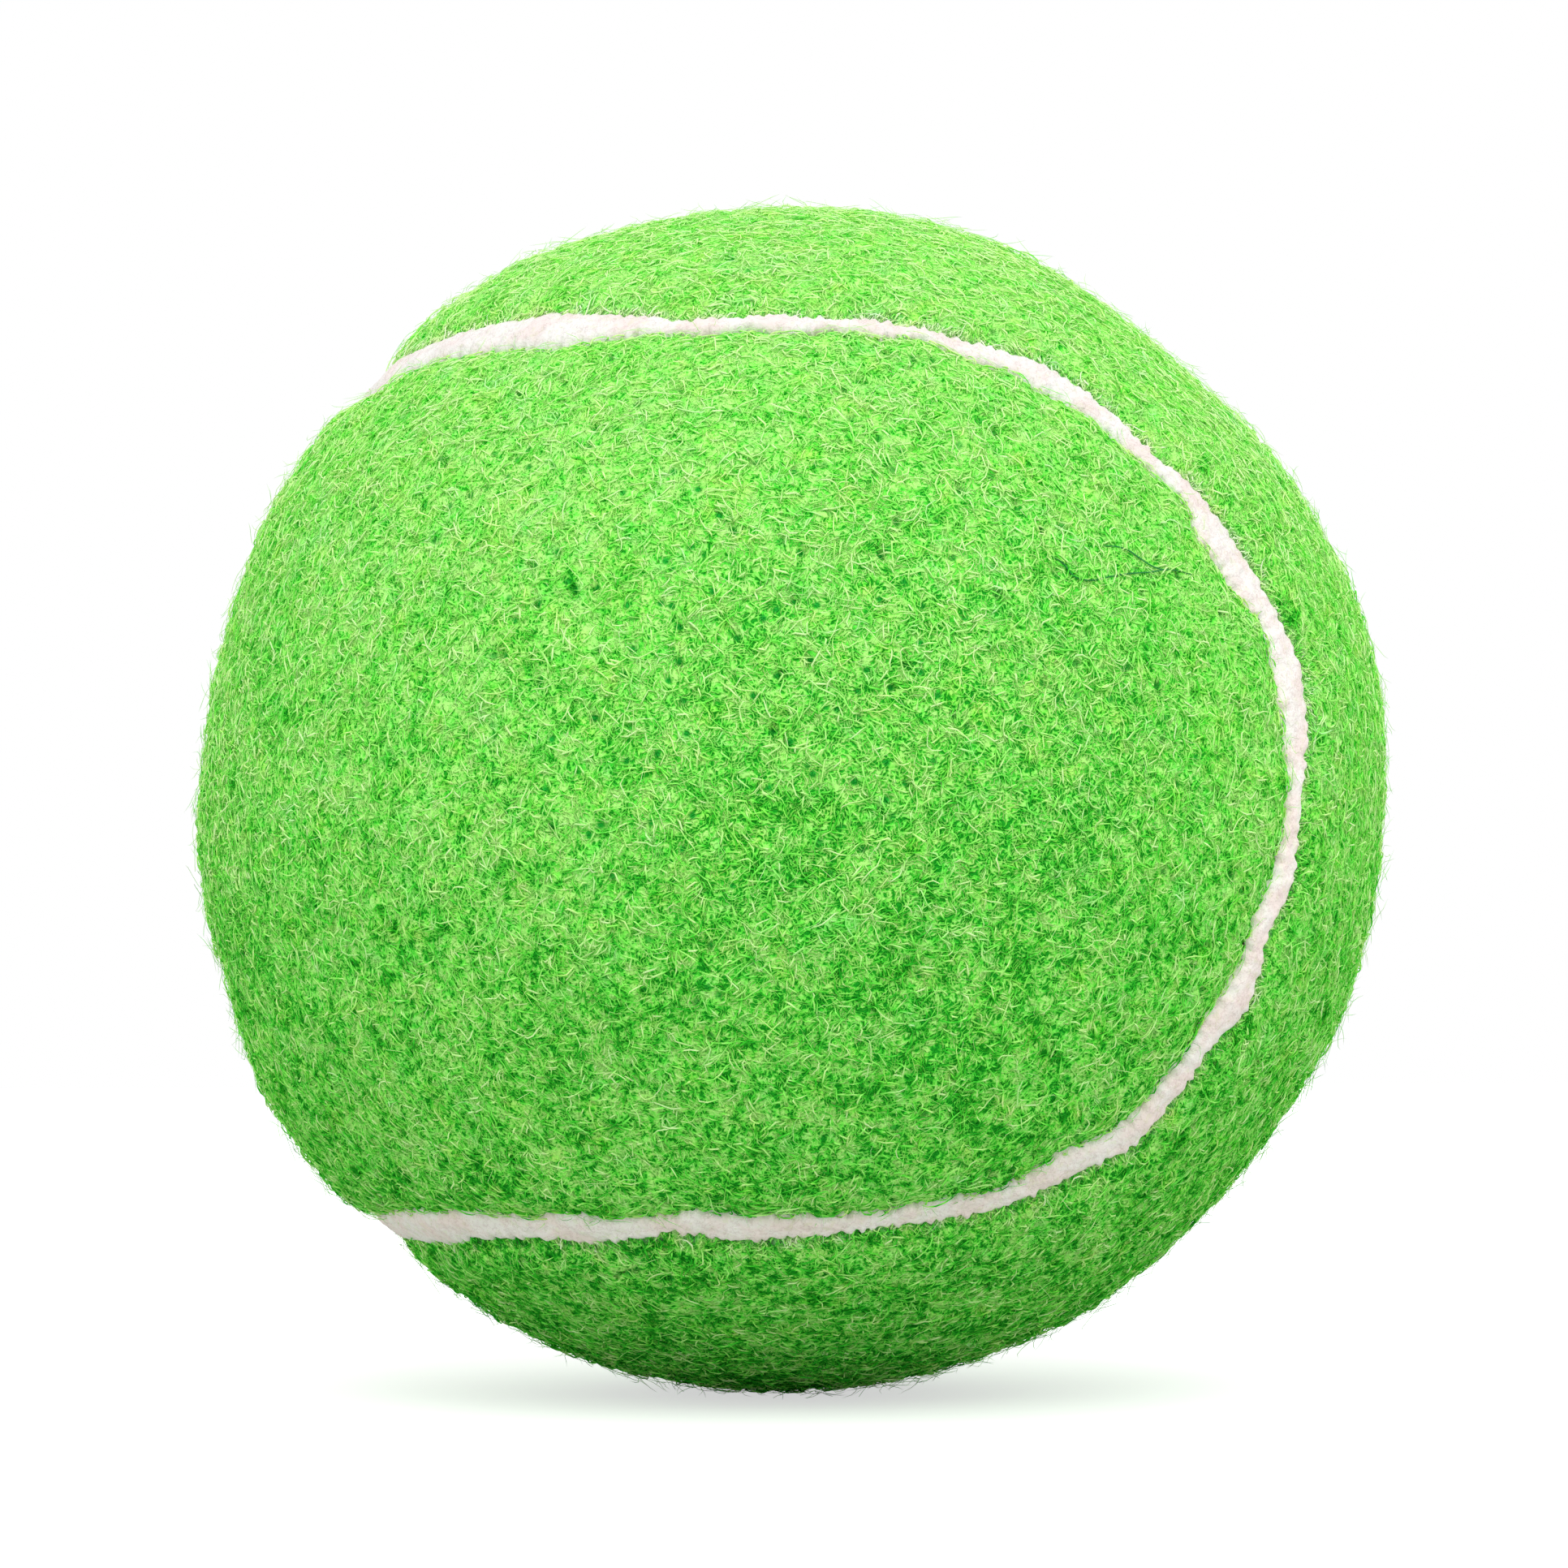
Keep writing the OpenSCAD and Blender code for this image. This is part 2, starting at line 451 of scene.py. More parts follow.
@dataclass
class SeamLine:
    """The course of the seam round the ball, and its bare width."""

    ball_radius: float
    waist_width: float = 54.8 * MM
    lobe_share: float = 0.2525
    width: float = 1.26 * MM
    ragged: float = 0.075 * MM
    # The least that each edge keeps from the seam's middle
    least: float = 0.12 * MM
    seed: int = 11
    # How much wider the bare cement is than elsewhere, where the photo shows it
    wide_spots: tuple[Spot, ...] = spots_mm(
        (49, 2.0, 5.5), (60, 0.8, 3.5), (66, 1.3, 4.2), (80, -0.9, 2.0), (74, -0.6, 2.4),
        (86.5, -0.85, 2.2), (93.5, -0.85, 2.6), (104.5, 0.75, 2.8), (108, 0.3, 2.0),
        (114, -0.3, 3.0), (122, 1.3, 3.4, 6), (130, 1.65, 3.0), (136.5, -0.42, 1.8),
        (141, 0.15, 2.5), (148.5, 1.0, 1.8), (160.5, 0.5, 2.0), (165.8, 0.6, 2.0),
        (168, -0.2, 2.0), (172, -0.3, 2.0), (180, -0.65, 2.4), (185, -0.2, 2.0),
        (192, 0.35, 1.8), (196.5, -0.65, 1.6), (203.5, 0.5, 2.2), (217.5, 0.85, 6.0))
    # How far the seam strays from its course, towards the right panel
    strays: tuple[Spot, ...] = spots_mm(
        (135, -0.42, 90.0), (186, 0.16, 40.0), (47, -1.75, 7.0), (76, -0.55, 4.0),
        (84, -0.25, 4.0), (68, -0.2, 3.5), (98, -0.35, 3.0), (107, -0.15, 3.0),
        (113.5, -1.1, 4.5), (121.8, -0.85, 3.6, 6), (129, 0.25, 2.5), (138, -0.25, 3.0),
        (144, -0.85, 2.4), (151.5, -0.45, 2.2), (159.5, 0.8, 3.0), (170, 0.35, 4.0),
        (195, -0.5, 3.0), (210, -0.25, 5.0))
    # The first and last curve angle of the half that the photo doesn't show
    unseen_deg: tuple[float, float] = (236, 394)
    unseen_stray: float = 0.4 * MM
    unseen_width: float = 0.5 * MM
    # Waves round the seam that add up to its raggedness
    waves: tuple[int, ...] = (47, 83, 131, 197, 263, 337, 389, 467, 521)

    def direction(self, angle: np.ndarray) -> np.ndarray:
        """Finds the seam's course.

        Args:
            angle: Curve angles in radians.

        Returns:
            Unit vectors, one a row.
        """
        half_waist = self.waist_width / 2 / self.ball_radius
        rise = (1 - self.lobe_share) / math.tan(half_waist)
        u = np.cos(angle) + self.lobe_share * np.cos(3 * angle)
        v = np.sin(angle) - self.lobe_share * np.sin(3 * angle)
        w = rise * np.sin(2 * angle)
        points = np.stack([-w, (u - v) / math.sqrt(2), (u + v) / math.sqrt(2)], axis=1)
        return points / np.linalg.norm(points, axis=1, keepdims=True)

    def beside(self, angle: np.ndarray, distance: np.ndarray) -> np.ndarray:
        """Finds points beside the seam's course.

        Args:
            angle: Curve angles in radians.
            distance: Distances over the ball, positive towards the right panel.

        Returns:
            Unit vectors, one a row.
        """
        small = 1e-4
        here = self.direction(angle)
        along = self.direction(angle + small) - self.direction(angle - small)
        across = np.cross(here, along)
        across /= np.linalg.norm(across, axis=1, keepdims=True)
        turn = (distance / self.ball_radius)[:, None]
        return here * np.cos(turn) + across * np.sin(turn)

    @staticmethod
    def _sum_of(spots: tuple[Spot, ...], angle: np.ndarray) -> np.ndarray:
        """Adds up spots.

        Args:
            spots: The spots.
            angle: Curve angles in radians.

        Returns:
            What the spots add at each angle.
        """
        total = np.zeros_like(angle)
        for spot in spots:
            away = degrees_apart(np.degrees(angle), spot.angle)
            total += spot.amount * np.exp(-np.abs(away / spot.spread) ** spot.power)
        return total

    def _unseen(self, amount: float, count: int, seed: int) -> tuple[Spot, ...]:
        """Makes spots for the half that the photo doesn't show.

        Args:
            amount: The largest amount.
            count: How many spots.
            seed: The seed.

        Returns:
            The spots.
        """
        rng = np.random.default_rng(seed)
        return tuple(
            Spot(angle + rng.uniform(-4, 4), rng.uniform(-0.7, 1.0) * amount, rng.uniform(2, 5))
            for angle in np.linspace(*self.unseen_deg, count))

    def edge(self, angle: np.ndarray, side: int, plain: bool = False) -> np.ndarray:
        """Finds a panel's edge.

        Args:
            angle: Curve angles in radians.
            side: -1 for the left panel, 1 for the right one.
            plain: Whether the edge runs straight, as it is cut.

        Returns:
            Distances from the seam's course, positive towards the right panel.
        """
        if plain:
            return np.full_like(angle, side * self.width / 2)
        stray = self._sum_of(self.strays + self._unseen(self.unseen_stray, 16, self.seed), angle)
        wide = self.wide_spots + self._unseen(self.unseen_width, 20, self.seed + 1)
        width = self.width + self._sum_of(wide, angle)
        rng = np.random.default_rng(self.seed + 5 + side)
        rough = np.zeros_like(angle)
        for waves in self.waves:
            rough += np.sin(waves * angle + rng.uniform(0, TURN)) * rng.uniform(0.5, 1.0)
        return stray + side * np.maximum(width / 2 + self.ragged * rough, self.least)


@dataclass
class Outline:
    """Low swells of the felt, by the angle round the picture at which they show."""

    photograph: Photograph
    # Degrees clockwise from the right, and millimetres above the crown
    swells: tuple[tuple[float, float], ...] = (
        (10, 0.0), (42, -0.42), (75, -0.1), (110, 0.05), (128, 0.1), (146, 0.6), (168, 0.05),
        (192, -0.45), (214, 0.0), (238, 0.3), (262, -0.28), (285, -0.1), (310, -0.55),
        (328, -0.05), (346, 0.32))
    # How far a swell goes round the picture and in from the outline
    swell_deg: float = 9.0
    spread_deg: float = 24.0
    # The weight of the even crown between the swells
    even: float = 0.1

    def height(self, directions: np.ndarray) -> np.ndarray:
        """Finds how far the felt swells.

        Args:
            directions: Unit vectors, one a row.

        Returns:
            Heights.
        """
        angle = self.photograph.image_angle(directions)
        total = np.zeros(len(directions))
        weight = np.zeros(len(directions))
        for place, height in self.swells:
            near = np.exp(-((degrees_apart(angle, place) / self.swell_deg) ** 2))
            total += near * (height * MM)
            weight += near
        forwards = self.photograph.axes()[1]
        facing = directions @ forwards + 1.0 / self.photograph.distance_radii
        from_rim = np.degrees(np.arcsin(np.clip(facing, -1.0, 1.0)))
        return total / (weight + self.even) * np.exp(-((from_rim / self.spread_deg) ** 2))


# Finishes


@dataclass(frozen=True)
class PitPattern:
    """Holes that the needles leave in the felt, the same in a shader and in a mesh."""

    ball_radius: float
    gathered_at: Triple
    gathered_within: float = 15.0 * MM
    spacing: float = 1.75 * MM
    hole: float = 0.165 * MM
    reach: float = 0.46 * MM
    # Elsewhere the pits lie in patches, where a noise is over these
    patch_size: float = 13.0 * MM
    patch: tuple[float, float] = (0.44, 0.6)
    patch_strength: float = 0.8
    # How near the surface a cell's point makes a pit, from none to a full one, in cells
    under: tuple[float, float] = (0.34, 0.24)
    # Where a pit begins and where it is deepest, in holes
    rim: tuple[float, float] = (1.7, 0.5)

    def around(self, place: Value) -> tuple[Value, Value, Value]:
        """Finds the nearest pit.

        Args:
            place: The place.

        Returns:
            The distance from the pit, its strength from 0 to 1, and the way out of it.
        """
        out = place.unit()
        crown = out * self.ball_radius
        cells = {"Vector": crown, "Scale": 1.0 / self.spacing, "Randomness": 1.0}
        centre = place.tree.node("ShaderNodeTexVoronoi", {"feature": "F1"}, cells, "Position")
        height = (centre.math("LENGTH") - self.ball_radius).math("ABSOLUTE")
        near = height.smooth(*(share * self.spacing for share in self.under))
        patch = centre.noise(self.patch_size, 1.0).smooth(*self.patch) * self.patch_strength
        gathered = centre.math("DISTANCE", self.gathered_at)
        gathered = gathered.smooth(self.gathered_within, self.gathered_within * 0.7)
        away = crown - centre
        aside = away - out * away.math("DOT_PRODUCT", out)
        return aside.math("LENGTH"), near * patch.math("MAXIMUM", gathered), aside.unit()

    def depth(self, place: Value) -> Value:
        """Finds how deep in a pit a place is, from 0 outside to 1."""
        far, strength, _ = self.around(place)
        return far.smooth(*(share * self.hole for share in self.rim)) * strength


@dataclass(frozen=True)
class Mottle:
    """How the felt's tone and hue drift from place to place."""

    # The size and the strength of each drift
    sizes: tuple[tuple[float, float], ...] = (
        (0.3 * MM, 1.1), (0.6 * MM, 1.6), (2.2 * MM, 0.75), (7.0 * MM, 0.2))
    # Painted light and shade: how much paler the felt is at the top, where the light falls, and how
    # much deeper at the bottom
    painted_light_by_height: float = 0.28
    # Painted shade: how much more uneven it gets towards the bottom, so that its dark spots grow
    # deeper there
    below: float = 0.8
    ball_radius: float = 33.5 * MM
    # Small places where the felt is darker: dark clumps, and painted shade under the bottom seam
    clumps_and_painted_shade: tuple[Triple, ...] = ()
    blotch_size: float = 1.3 * MM
    blotch_dark: float = 0.4
    hue_size: float = 1.3 * MM
    hue_strength: float = 1.5
    yellow: Triple = (1.0, 0.98, 0.62)
    blue: Triple = (0.60, 0.98, 0.88)
    # The most of each that the felt takes
    tinge: float = 0.8
    # How far cement soaks in from an edge, and how softly it ends
    soak: tuple[float, float] = (-0.1 * MM, 1.2 * MM)
    soak_end: tuple[float, float] = (-0.2 * MM, 0.15 * MM)

    def tone(self, place: Value) -> Value:
        """Drifts about 0.

        Args:
            place: The place.

        Returns:
            The tone.
        """
        height = place[2] / self.ball_radius
        # Painted shade: the tone swings wider towards the bottom, deepening its dark spots
        uneven = 1.0 - height.math("MINIMUM", 0.0) * self.below
        # Painted light and shade: paler towards the top and deeper towards the bottom
        total = height * self.painted_light_by_height
        for size, share in self.sizes:
            total = total + (place.noise(size, 1.0) - 0.5) * uneven * share
        # Darkens the clumps, and paints shade under the bottom seam
        for blotch in self.clumps_and_painted_shade:
            near = place.math("DISTANCE", blotch).smooth(self.blotch_size, 0.0)
            total = total - near * self.blotch_dark
        return total

    def hue(self, place: Value) -> Value:
        """Drifts about 0.5, from 0 for blue to 1 for yellow."""
        near = (place + (0.3, 0.1, 0.2)).noise(self.hue_size, 2.0)
        return (near - 0.5) * self.hue_strength + 0.5

    def soaked(self, place: Value, edge: Value) -> Value:
        """Finds how full of cement the felt is, by its distance from the smeared edge."""
        least, more = self.soak
        return (place.noise(1.0 * MM, 2.0) * more + least - edge).smooth(*self.soak_end)

    def tint(self, colour: Value, hue: Value) -> Value:
        """Turns a colour to blue for a hue of 0 and to yellow for 1.

        Args:
            colour: The colour.
            hue: The hue.

        Returns:
            The turned colour.
        """
        for end, light in ((1.0, self.yellow), (0.0, self.blue)):
            share = hue.smooth(0.5, end) * self.tinge
            colour = colour.tree.mix_colours(share, colour, light, "MULTIPLY")
        return colour


@dataclass(frozen=True)
class FeltFinish:
    """The matted ground of the felt, seen between the fibres of the nap."""

    pits: PitPattern
    mottle: Mottle
    # Painted shade: the dark green that fills the pits
    hole: Triple = (0.02, 0.46, 0.04)
    cement: Triple = (0.86, 0.985, 0.72)
    cement_share: float = 0.25
    # From between the strands to their backs; the dark end is painted shade in the gaps
    shades: Stops = (
        (0.0, (0.015, 0.36, 0.02)), (0.28, (0.09, 0.78, 0.05)),
        (0.6, (0.27, 0.98, 0.12)), (1.0, (0.47, 0.995, 0.23)))
    shade: float = 0.1
    strand_share: float = 0.95
    tone_share: float = 0.8
    strand_spacing: float = 0.26 * MM
    strand_sway: float = 2.6 * MM
    strand_height: float = 0.14 * MM

    def _strands(self, place: Value) -> Value:
        """Draws a tangle of curly strands, three sets across each other.

        Args:
            place: The place.

        Returns:
            A pattern from 0 between the strands to 1 on their backs.
        """
        out = place.unit()
        bent = place + place.noise(1.3 * MM, 3.0, 0.55, "Color") * self.strand_sway
        over = place.noise(0.5 * MM, 0.0, 0.5, "Color")
        best: Value | None = None
        for axis in range(3):
            ridge = (bent[axis] * (TURN / self.strand_spacing)).math("SINE")
            # A set whose planes lie along the surface would run together
            flat = out[axis].math("ABSOLUTE").smooth(0.97, 0.8)
            ridge = (ridge * 0.5 + 0.3 + (over[axis] - 0.5) * 1.2) * flat
            best = ridge if best is None else best.math("MAXIMUM", ridge)
        return best.clamp(0.0, 1.0)

    def material(self) -> Material:
        """Makes the material.

        Returns:
            The material.
        """
        shader = Shader("felt_ground")
        place = shader.place()
        strands = self._strands(place)
        # Painted shade: darkest between the strands, palest on their backs
        shade = strands * self.strand_share + self.mottle.tone(place) * self.tone_share + self.shade
        colour = self.mottle.tint(shader.ramp(shade, self.shades), self.mottle.hue(place))
        # Painted shade in the pits, by their depth
        colour = shader.mix_colours(self.pits.depth(place), colour, self.hole)
        edge = shader.node("ShaderNodeAttribute", {"attribute_name": "smear"}, None, "Fac")
        soaked = self.mottle.soaked(place, edge) * self.cement_share
        colour = shader.mix_colours(soaked, colour, self.cement)
        return shader.surface({"Base Color": colour, "Roughness": 0.95, "Specular IOR Level": 0.0},
                              strands, self.strand_height)


@dataclass(frozen=True)
class NapFinish:
    """The loose fibres of the felt. Their map holds the shade in U and the hue in V."""

    mottle: Mottle
    shades: Stops = (
        (0.0, (0.012, 0.34, 0.018)), (0.2, (0.065, 0.70, 0.04)), (0.45, (0.26, 0.97, 0.12)),
        (0.7, (0.48, 0.995, 0.24)), (0.86, (0.65, 0.995, 0.37)), (0.96, (0.93, 0.995, 0.80)))

    def material(self) -> Material:
        """Makes the material.

        Returns:
            The material.
        """
        shader = Shader("felt_nap")
        place = shader.node("ShaderNodeUVMap", {"uv_map": UV_NAME})
        colour = self.mottle.tint(shader.ramp(place[0], self.shades), place[1])
        return shader.surface({"Base Color": colour, "Roughness": 0.9, "Specular IOR Level": 0.0})


@dataclass(frozen=True)
class SeamFinish:
    """Pale vulcanised cement, matt and a little dusty, pinker where it is bare."""

    pale: Triple = (0.99, 0.94, 0.89)
    # Painted light: the dimmer colour of the cement at the top, where the light is strongest
    painted_dim_top: Triple = (0.80, 0.78, 0.755)
    pink: Triple = (0.97, 0.84, 0.83)
    shadow: Triple = (0.62, 0.50, 0.50)
    dust: Triple = (0.82, 0.93, 0.66)
    ball_radius: float = 33.5 * MM

    def material(self) -> Material:
        """Makes the material.

        Returns:
            The material.
        """
        shader = Shader("seam_cement_dressed")
        place = shader.place()
        sizes = ((2.2 * MM, 3.0), (0.2 * MM, 2.0), (0.6 * MM, 3.0), (0.4 * MM, 2.0))
        cloud, grain, lump, speck = (place.noise(size, detail, 0.6) for size, detail in sizes)
        # Painted light: the cement is dimmer at the top and paler lower down, against the stronger
        # light from above
        painted_paler_below = place[2].smooth(0.75 * self.ball_radius, -0.2 * self.ball_radius)
        colour = shader.mix_colours(painted_paler_below, self.painted_dim_top, self.pale)
        # Painted shade in the creases and in the low grain of the cement
        crack = (lump - 0.5).math("ABSOLUTE").smooth(0.03, 0.0) * 0.35
        painted_crease_shade = (crack + grain.smooth(0.42, 0.28) * 0.2).math("MINIMUM", 0.7)
        for share, tinge in ((cloud.smooth(0.4, 0.62) * 0.7, self.pink),
                             (speck.smooth(0.54, 0.66) * 0.35, self.dust), (painted_crease_shade, self.shadow)):
            colour = shader.mix_colours(share, colour, tinge, "MULTIPLY")
        return shader.surface({
            "Base Color": colour, "Roughness": 0.72 + grain * 0.2, "Specular IOR Level": 0.3,
        }, grain * 0.3 + lump * 0.9, 0.16 * MM)


@dataclass(frozen=True)
class RubberFinish:
    """Rubber or cement inside the ball, with a paler bloom in places."""

    name: str
    body: Triple
    bloom: Triple
    grain: float
    rough: float = 0.7

    def material(self) -> Material:
        """Makes the material.

        Returns:
            The material.
        """
        shader = Shader(self.name)
        place = shader.place()
        cloud = place.noise(7.0 * MM, 4.0, 0.6)
        colour = shader.mix_colours(cloud.smooth(0.4, 0.75) * 0.6, self.body, self.bloom)
        rough = (cloud - 0.5) * 0.25 + self.rough
        return shader.surface({"Base Color": colour, "Roughness": rough, "Specular IOR Level": 0.4},
                              place.noise(self.grain, 2.0), 0.05 * MM)


# Pieces


class Side(Enum):
    """The two felt panels, each with its word in names, its sign and a tip's curve angle."""

    LEFT = ("left", -1, 135.0)
    RIGHT = ("right", 1, 225.0)

    def __init__(self, word: str, sign: int, tip_deg: float) -> None:
        """Keeps the panel's facts. The sign is that of distances from seam to panel."""
        self.word, self.sign, self.tip_deg = word, sign, tip_deg


def show(name: str, mesh: bpy.types.Mesh, material: Material) -> Piece:
    """Puts a mesh in the scene as a smooth object at the origin.

    Args:
        name: The piece's name.
        mesh: Its mesh.
        material: Its one material.

    Returns:
        The piece.
    """
    mesh.name = name
    mesh.shade_smooth()
    mesh.materials.clear()
    mesh.materials.append(material)
    piece = bpy.data.objects.new(name, mesh)
    bpy.context.scene.collection.objects.link(piece)
    return piece


def new_piece(name: str, points: np.ndarray, faces: list[Any], material: Material) -> Piece:
    """Makes a piece of points and faces.

    Args:
        name: The piece's name.
        points: Its points.
        faces: Its faces, as point numbers.
        material: Its material.

    Returns:
        The piece.
    """
    mesh = bpy.data.meshes.new(name)
    mesh.from_pydata(points.tolist(), [], faces)
    return show(name, mesh, material)


def faces_in(points: np.ndarray, face: list[int]) -> bool:
    """Tells whether a face looks towards the origin."""
    a, b, c = (points[n] for n in face[:3])
    return np.dot(np.cross(b - a, c - a), a) < 0


def nearest(places: np.ndarray, points: np.ndarray) -> tuple[np.ndarray, np.ndarray]:
    """Finds the place that is nearest to each point.

    Args:
        places: The places, one a row.
        points: The points, one a row.

    Returns:
        The numbers of the places, and vectors from the points to them.
    """
    tree = KDTree(len(places))
    for number, place in enumerate(places):
        tree.insert(place, number)
    tree.balance()
    found = np.array([tree.find(point)[1] for point in points])
    return found, places[found] - points


def read(source: Any, key: str, kind: type) -> np.ndarray:
    """Reads one number of each item of a mesh.

    Args:
        source: The items.
        key: The number's name.
        kind: Its type.

    Returns:
        The numbers.
    """
    numbers = np.zeros(len(source), kind)
    source.foreach_get(key, numbers)
    return numbers


def add_values(mesh: bpy.types.Mesh, name: str, values: np.ndarray) -> None:
    """Stores a number or a vector for each point of a mesh.

    Args:
        mesh: The mesh.
        name: The attribute's name.
        values: The numbers, or the vectors, one a row.
    """
    kind, key = ("FLOAT", "value") if values.ndim == 1 else ("FLOAT_VECTOR", "vector")
    kept = mesh.attributes.new(name, kind, "POINT")
    kept.data.foreach_set(key, values.astype(np.float32).ravel())


def report(piece: Piece) -> None:
    """Logs a piece's name and size."""
    piece.data.calc_loop_triangles()
    log.info("%s: %d triangles", piece.name, len(piece.data.loop_triangles))


@dataclass(frozen=True)
class NapLayer:
    """One layer of fibres in the nap."""

    name: str
    seed: int
    fibres: int
    points: int
    length: float
    radius: float
    bend: float
    lowest: float
    highest: float
    arch: float
    lift: float
    shade: float
    # The band that carries the layer: how far from the panel's edge it starts and ends
    foot: float = 0.0
    band: float = 1.0
    # 1 for fibres that lie level and point over the panel's edge
    fringe: float = 0.0
    # The one panel that has the layer
    only: Side | None = None


@dataclass
class FeltPanel:
    """One dog-bone panel of felt with its nap."""

    side: Side
    seam: SeamLine
    outline: Outline
    pits: PitPattern
    mottle: Mottle
    felt: Material
    fibres: Material
    ball_radius: float
    back_radius: float
    pile: float = 0.3 * MM
    shoulder_width: float = 2.7 * MM
    shoulder_fall: float = 1.15 * MM
    rungs: int = 480
    steps: int = 100
    back_steps: int = 8
    # The part of a sine over which the points of a rung crowd towards its ends
    crowding: float = 1.2
    # How far in from the edge the felt gives way to the edge's own bends
    give: float = 7.0 * MM
    lump: float = 0.35 * MM
    lump_size: float = 17.0 * MM
    tuft: float = 0.2 * MM
    tuft_size: float = 1.9 * MM
    pit_depth: float = 0.45 * MM
    # How yellow the fibres along the left panel's edge are
    gold: float = 0.45
    # The lower layers are a little deeper in shade: painted shade for fibres lower in the pile
    layers: tuple[NapLayer, ...] = (
        NapLayer("ground_a", 1, 15400, 4, 1.10 * MM, 0.048 * MM, 2.0, -0.12 * MM, 0.0,
                 0.13 * MM, 0.0, 0.61),
        NapLayer("ground_b", 2, 15400, 4, 1.10 * MM, 0.045 * MM, 2.0, -0.10 * MM, 0.04 * MM,
                 0.14 * MM, 0.0, 0.68),
        NapLayer("top", 3, 7700, 6, 1.6 * MM, 0.037 * MM, 2.8, -0.06 * MM, 0.12 * MM,
                 0.15 * MM, 0.0, 0.72),
        NapLayer("fuzz", 4, 8000, 5, 1.8 * MM, 0.013 * MM, 2.8, 0.04 * MM, 0.26 * MM,
                 0.14 * MM, 0.4 * MM, 0.72),
        NapLayer("edge", 6, 6000, 4, 0.7 * MM, 0.036 * MM, 1.4, -0.05 * MM, 0.06 * MM,
                 0.03 * MM, 0.0, 0.66, 0.3 * MM, 0.8 * MM, 1.0, Side.RIGHT))

    def _rung_ends(self, count: int, plain: bool = False) -> list[np.ndarray]:
        """Finds the two ends of each rung across the panel.

        Args:
            count: How many rungs, with the two tips.
            plain: Whether they lie on the edge as it is cut.

        Returns:
            Two arrays of unit vectors.
        """
        swing = np.linspace(0.0, math.pi, count)
        tip = math.radians(self.side.tip_deg)
        return [self.seam.beside(angle, self.seam.edge(angle, self.side.sign, plain))
                for angle in (tip + swing, tip - swing)]

    def _grid(self, steps: int) -> tuple[np.ndarray, list[list[int]], np.ndarray]:
        """Lays rungs across the panel.

        Args:
            steps: Faces across each rung.

        Returns:
            Unit vectors, faces that point outwards, and the rim's point numbers in order.
        """
        first, second = self._rung_ends(self.rungs + 1, True)
        inner_a, inner_b = first[1:-1], second[1:-1]
        arc = np.arccos(np.clip((inner_a * inner_b).sum(1), -1, 1))[:, None]
        crowded = np.sin(np.linspace(1.0, -1.0, steps + 1) * self.crowding)
        rows = [(np.sin((1 - share) * arc) * inner_a + np.sin(share * arc) * inner_b) / np.sin(arc)
                for share in 0.5 - 0.5 * crowded / math.sin(self.crowding)]
        body = np.stack(rows, axis=1).reshape(-1, 3)
        points = self._bend(np.concatenate([first[:1], body, first[-1:]]))
        width = steps + 1
        last = len(points) - 1
        end = last - width
        faces: list[list[int]] = []
        for k in range(steps):
            faces += [[0, k + 2, k + 1], [last, end + k, end + k + 1]]
        for row in range(1, end, width):
            faces += [[n, n + 1, n + width + 1, n + width] for n in range(row, row + steps)]
        near = range(1, last, width)
        far = range(width, last, width)
        if faces_in(points, faces[len(faces) // 2]):
            faces = [face[::-1] for face in faces]
        return points, faces, np.array([0, *near, last, *far[::-1]])

    def _bend(self, points: np.ndarray) -> np.ndarray:
        """Shifts points with the nearest place of the edge, less so further in.

        Args:
            points: Unit vectors between the plain edges.

        Returns:
            Unit vectors between the real edges.
        """
        plain = np.concatenate(self._rung_ends(4 * self.rungs + 1, True))
        shift = np.concatenate(self._rung_ends(4 * self.rungs + 1)) - plain
        near, away = nearest(plain, points)
        share = np.clip(1 - np.linalg.norm(away, axis=1) * self.ball_radius / self.give, 0.0, 1.0)
        moved = points + shift[near] * (share ** 2 * (3 - 2 * share))[:, None]
        return moved / np.linalg.norm(moved, axis=1, keepdims=True)

    def _to_edge(self, points: np.ndarray, rim: np.ndarray) -> tuple[np.ndarray, np.ndarray]:
        """Measures how far each point is from the panel's edge, and in what direction.

        Args:
            points: Unit vectors.
            rim: The point numbers of the edge.

        Returns:
            Distances over the ball, and vectors from the points to the edge.
        """
        _, towards = nearest(np.concatenate(self._rung_ends(4 * self.rungs + 1)), points)
        distance = np.linalg.norm(towards, axis=1)
        distance[rim] = 0.0
        return distance * self.ball_radius, towards

    def _crown(self, points: np.ndarray, distance: np.ndarray) -> np.ndarray:
        """Finds the felt's surface.

        Args:
            points: Unit vectors.
            distance: Distances from the edge.

        Returns:
            Radii.
        """
        share = np.clip(1 - distance / self.shoulder_width, 0.0, 1.0)
        fall = self.shoulder_fall * (1 - np.sqrt(1 - share ** 2))
        return self.ball_radius - self.pile - fall + self.outline.height(points)

